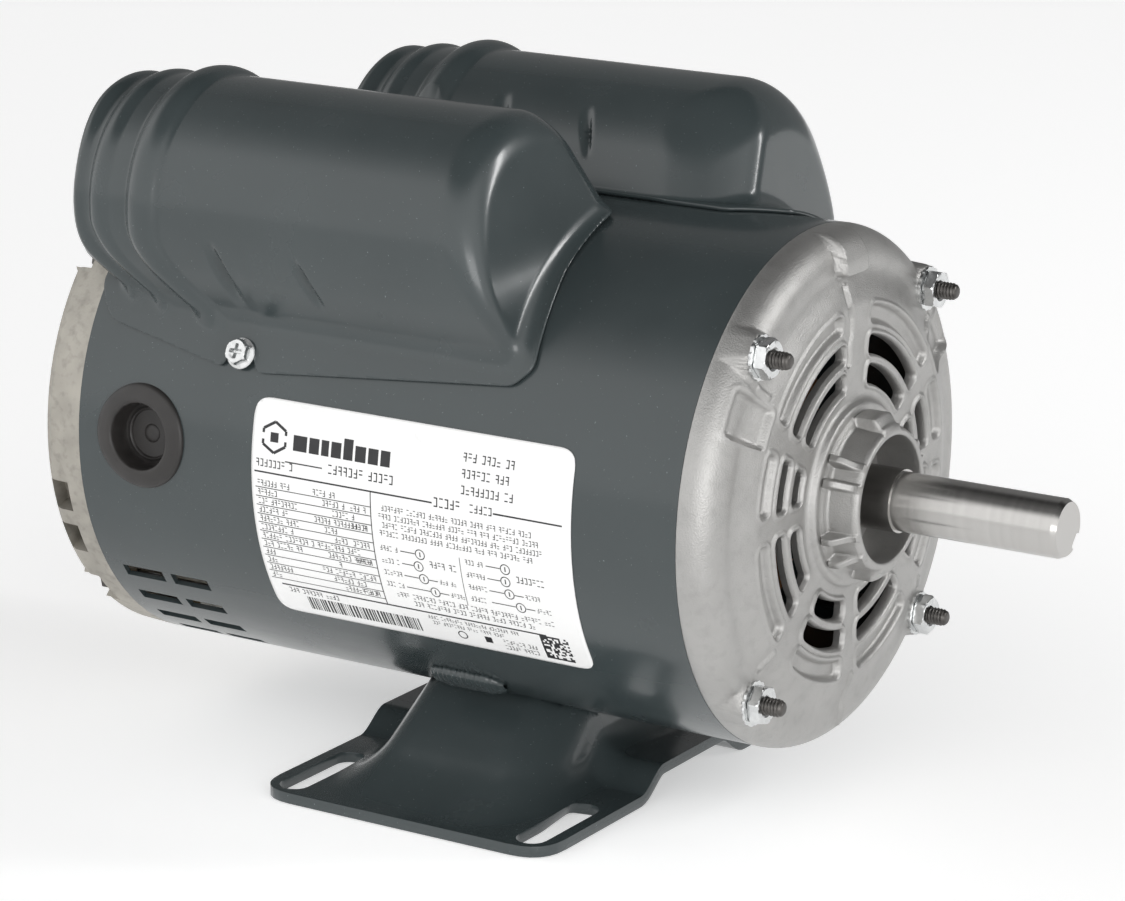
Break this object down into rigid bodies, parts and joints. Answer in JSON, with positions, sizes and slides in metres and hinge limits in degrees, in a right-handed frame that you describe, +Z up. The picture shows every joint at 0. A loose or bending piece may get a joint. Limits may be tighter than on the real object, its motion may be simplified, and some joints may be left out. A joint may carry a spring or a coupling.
{
  "type": "electric motor",
  "caption": "Foot-mounted open drip-proof single-phase motor with two capacitor covers, cast end bells and a keyed output shaft.",
  "frame": {"origin": "centre of the four foot slots, on the underside of the base", "axes": "+Z up, -Y along the output shaft away from the motor, -X towards the nameplate"},
  "size_m": [0.1548, 0.2781, 0.1903],
  "materials": {
    "paint": "semi-gloss dark grey-green enamel",
    "cast_drive": "as-cast, lightly brushed",
    "cast_rear": "as-cast, dull",
    "machined_steel": "fine turned",
    "zinc": "bright zinc plate",
    "stud_steel": "dark oiled steel",
    "label": "satin film",
    "plug_plastic": "moulded",
    "phenolic": "moulded",
    "board_plastic": "moulded",
    "copper": "varnished copper wire",
    "lamination": "stacked electrical steel",
    "cage_alloy": "die cast",
    "bearing_steel": "ground",
    "cage_brass": "pressed",
    "can_aluminium": "drawn can",
    "foam": "sponge",
    "collar_nylon": "moulded",
    "contact_brass": "stamped",
    "lead_red": "insulated lead",
    "lead_brown": "insulated lead",
    "lead_black": "insulated lead",
    "lead_white": "insulated lead"
  },
  "bodies": {
    "root": {"frame_shell": "paint", "mounting_base": "paint", "base_welds": "paint", "start_capacitor_cover": "paint", "run_capacitor_cover": "paint", "cover_screws": "zinc", "start_capacitor": "phenolic", "start_capacitor_tabs": "contact_brass", "start_capacitor_leads": "lead_black", "run_capacitor": "can_aluminium", "run_capacitor_tabs": "contact_brass", "run_capacitor_leads": "lead_brown", "capacitor_pads": "foam", "drive_end_bell": "cast_drive", "rear_end_bell": "cast_rear", "drive_bearing_outer_race": "bearing_steel", "rear_bearing_outer_race": "bearing_steel", "preload_washer": "bearing_steel", "stator_core": "lamination", "main_winding": "copper", "start_winding": "copper", "through_bolts": "stud_steel", "nut_lock_washers": "zinc", "through_bolt_nuts": "zinc", "start_switch_board": "phenolic", "switch_pin": "bearing_steel", "switch_contacts": "contact_brass", "switch_screws": "zinc", "terminal_board": "board_plastic", "lead_wire_red": "lead_red", "lead_wire_brown": "lead_brown", "lead_wire_black": "lead_black", "lead_wire_white": "lead_white", "lead_terminals": "contact_brass", "thermal_protector": "phenolic", "nameplate": "label", "conduit_plug": "plug_plastic"},
    "rotor": {"shaft": "machined_steel", "rotor_core": "lamination", "rotor_cage": "cage_alloy", "drive_bearing_inner_race": "bearing_steel", "rear_bearing_inner_race": "bearing_steel", "governor_hub": "bearing_steel", "governor_pins": "bearing_steel", "governor_spring": "bearing_steel"},
    "drive_bearing_set": {"drive_bearing_balls": "bearing_steel", "drive_bearing_cage": "cage_brass"},
    "rear_bearing_set": {"rear_bearing_balls": "bearing_steel", "rear_bearing_cage": "cage_brass"},
    "governor_slider": {"governor_collar": "collar_nylon"},
    "weight_left": {"governor_weight_left": "bearing_steel"},
    "weight_right": {"governor_weight_right": "bearing_steel"},
    "lever": {"switch_lever": "phenolic"}
  },
  "joints": [
    {"name": "rotor_spin", "type": "hinge", "parent": "root", "child": "rotor", "pos_m": [0, 0, 0.0889], "axis": [0, -1, 0], "continuous": true},
    {"name": "drive_bearing_roll", "type": "hinge", "parent": "root", "child": "drive_bearing_set", "pos_m": [0, -0.082, 0.0889], "axis": [0, -1, 0], "continuous": true},
    {"name": "rear_bearing_roll", "type": "hinge", "parent": "root", "child": "rear_bearing_set", "pos_m": [0, 0.107, 0.0889], "axis": [0, -1, 0], "continuous": true},
    {"name": "governor_slide", "type": "slide", "parent": "rotor", "child": "governor_slider", "axis": [0, -1, 0], "range_m": [0, 0.002], "stiffness_N_per_m": 400, "springref_m": -0.004},
    {"name": "weight_right_swing", "type": "hinge", "parent": "rotor", "child": "weight_right", "pos_m": [0.021, 0.07, 0.0889], "axis": [0, 0, 1], "range_deg": [0, 21.5]},
    {"name": "weight_left_swing", "type": "hinge", "parent": "rotor", "child": "weight_left", "pos_m": [-0.021, 0.07, 0.0889], "axis": [0, 0, -1], "range_deg": [0, 21.5]},
    {"name": "switch_lever_tilt", "type": "hinge", "parent": "root", "child": "lever", "pos_m": [0, 0.088, 0.1169], "axis": [-1, 0, 0], "range_deg": [0, 4.29]}
  ],
  "couplings": [
    {"joint": "drive_bearing_roll", "follows": "rotor_spin", "ratio": 0.382},
    {"joint": "rear_bearing_roll", "follows": "rotor_spin", "ratio": 0.382},
    {"joint": "weight_right_swing", "follows": "governor_slide", "rad_per_m": 185},
    {"joint": "weight_left_swing", "follows": "governor_slide", "rad_per_m": 185},
    {"joint": "switch_lever_tilt", "follows": "governor_slide", "rad_per_m": 35.714}
  ]
}
